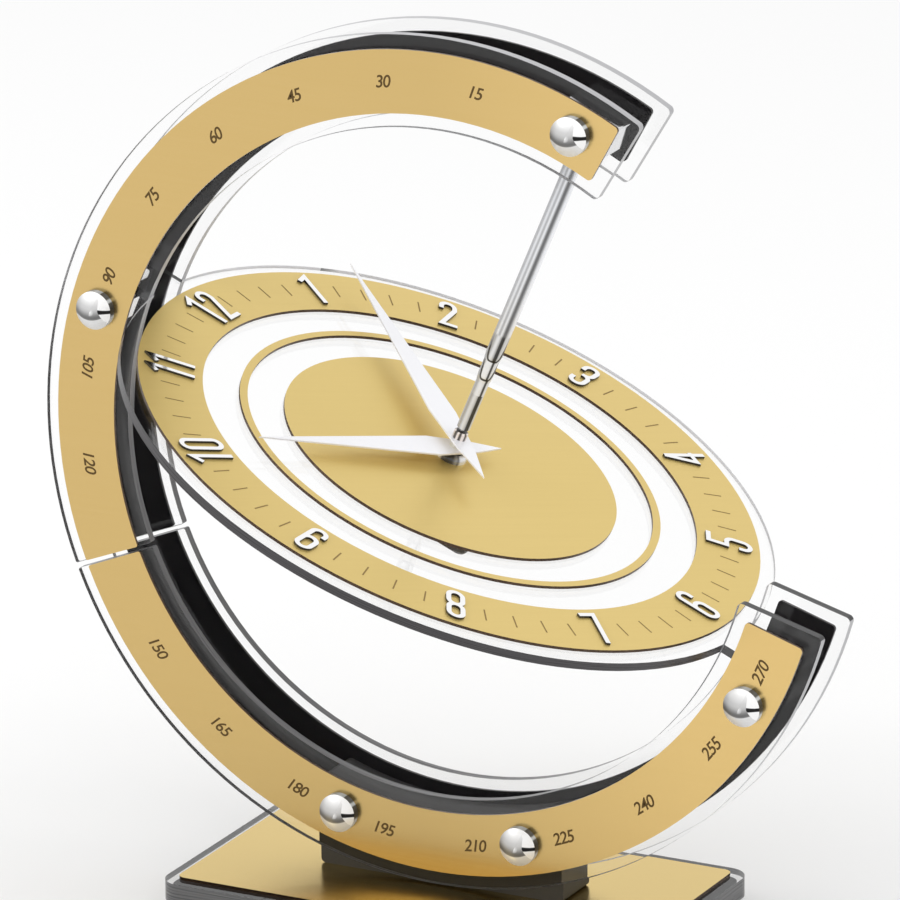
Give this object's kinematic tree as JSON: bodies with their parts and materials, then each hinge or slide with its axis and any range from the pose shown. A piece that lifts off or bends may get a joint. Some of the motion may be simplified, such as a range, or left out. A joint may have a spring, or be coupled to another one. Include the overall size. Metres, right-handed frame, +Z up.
{
  "type": "world time clock",
  "caption": "Table clock with a tilted clear dial and gold hour ring, held across a C-shaped double ring of clear and gold plates, with a pointer rod along the dial's axis.",
  "frame": {"origin": "centre of the base pad's underside, straight below the centre of the ring and dial", "axes": "+Z up, the ring's numbered gold face towards -Y, the rod leaning from the dial's centre towards +X"},
  "size_m": [0.3275, 0.263, 0.3453],
  "materials": {
    "clear_acrylic": "clear cast acrylic, polished faces, dark cut edges",
    "gold_panel": "gold anodised sheet, fine straight brushing, dark cut edges",
    "black_panel": "black gloss sheet",
    "chrome": "polished chrome plating",
    "steel_screw": "zinc plated steel",
    "numeral_mirror": "silver mirror face with dark cut sides",
    "hand_aluminium": "satin white aluminium",
    "brass_nut": "turned and polished brass",
    "block_black": "satin black powder coat",
    "black_plastic": "black moulded plastic, fine texture",
    "gear_plastic": "natural white moulded acetal",
    "rubber": "soft black rubber",
    "copper_wire": "enamelled copper winding",
    "motor_iron": "punched motor sheet",
    "board": "green lacquered circuit board",
    "battery_jacket": "dark printed jacket, plain, bare steel cap",
    "contact_spring": "nickel plated spring strip"
  },
  "bodies": {
    "root": {"dial_plate": "clear_acrylic", "inner_disc": "gold_panel", "thin_ring": "gold_panel", "hour_ring": "gold_panel", "front_plate_upper": "clear_acrylic", "front_plate_lower": "clear_acrylic", "rear_plate_upper": "clear_acrylic", "rear_plate_lower": "clear_acrylic", "gold_panel_upper": "gold_panel", "gold_panel_lower": "gold_panel", "black_panel_upper": "black_panel", "black_panel_lower": "black_panel", "lug_block_twelve": "chrome", "lug_block_six": "chrome", "rod_block": "chrome", "cap_screws_front": "chrome", "cap_screws_rear": "chrome", "lug_screws": "steel_screw", "rod_upper": "chrome", "foot_block": "block_black", "base_plate": "clear_acrylic", "base_panel": "gold_panel", "base_screws": "steel_screw", "base_pad": "rubber", "fixing_nut": "chrome", "gasket": "rubber", "movement_case": "black_plastic", "movement_cover": "black_plastic", "case_screws": "steel_screw", "gear_bridge": "black_plastic", "stator": "motor_iron", "coil": "copper_wire", "circuit_board": "board", "battery": "battery_jacket", "contact_plus": "contact_spring", "contact_minus": "contact_spring", "numeral_01": "numeral_mirror", "numeral_02": "numeral_mirror", "numeral_03": "numeral_mirror", "numeral_04": "numeral_mirror", "numeral_05": "numeral_mirror", "numeral_06": "numeral_mirror", "numeral_07": "numeral_mirror", "numeral_08": "numeral_mirror", "numeral_09": "numeral_mirror", "numeral_10": "numeral_mirror", "numeral_11": "numeral_mirror", "numeral_12": "numeral_mirror"},
    "minute": {"minute_arbor": "gear_plastic", "minute_hand": "hand_aluminium", "hand_nut": "brass_nut"},
    "hour": {"hour_wheel": "gear_plastic", "hour_hand": "hand_aluminium"},
    "motion": {"motion_wheel": "gear_plastic"},
    "third": {"third_wheel": "gear_plastic"},
    "rotor": {"rotor": "gear_plastic"},
    "knob": {"setting_knob": "black_plastic"},
    "rod_middle": {"rod_middle": "chrome"},
    "rod_lower": {"rod_lower": "chrome"}
  },
  "joints": [
    {"name": "minute_turn", "type": "hinge", "parent": "root", "child": "minute", "pos_m": [0, 0, 0.1783], "axis": [-0.3971, 0, -0.9178], "continuous": true},
    {"name": "hour_turn", "type": "hinge", "parent": "root", "child": "hour", "pos_m": [0, 0, 0.1783], "axis": [-0.3971, 0, -0.9178], "continuous": true},
    {"name": "motion_turn", "type": "hinge", "parent": "root", "child": "motion", "pos_m": [-0.00385, 0.00728, 0.17997], "axis": [-0.3971, 0, -0.9178], "continuous": true},
    {"name": "third_turn", "type": "hinge", "parent": "root", "child": "third", "pos_m": [-0.00441, -0.00831, 0.18021], "axis": [-0.3971, 0, -0.9178], "continuous": true},
    {"name": "rotor_turn", "type": "hinge", "parent": "root", "child": "rotor", "pos_m": [-0.00762, -0.01438, 0.1816], "axis": [-0.3971, 0, -0.9178], "continuous": true},
    {"name": "knob_turn", "type": "hinge", "parent": "root", "child": "knob", "pos_m": [-0.00649, 0.01517, 0.18111], "axis": [-0.3971, 0, -0.9178], "continuous": true},
    {"name": "rod_middle_slide", "type": "slide", "parent": "root", "child": "rod_middle", "axis": [0.3971, 0, 0.9178], "range_m": [0, 0.01]},
    {"name": "rod_lower_slide", "type": "slide", "parent": "rod_middle", "child": "rod_lower", "axis": [0.3971, 0, 0.9178], "range_m": [0, 0.022]}
  ],
  "couplings": [
    {"joint": "hour_turn", "follows": "minute_turn", "ratio": 0.083333},
    {"joint": "motion_turn", "follows": "minute_turn", "ratio": -0.33333},
    {"joint": "third_turn", "follows": "minute_turn", "ratio": -5},
    {"joint": "rotor_turn", "follows": "minute_turn", "ratio": 30},
    {"joint": "knob_turn", "follows": "minute_turn", "ratio": 1}
  ]
}
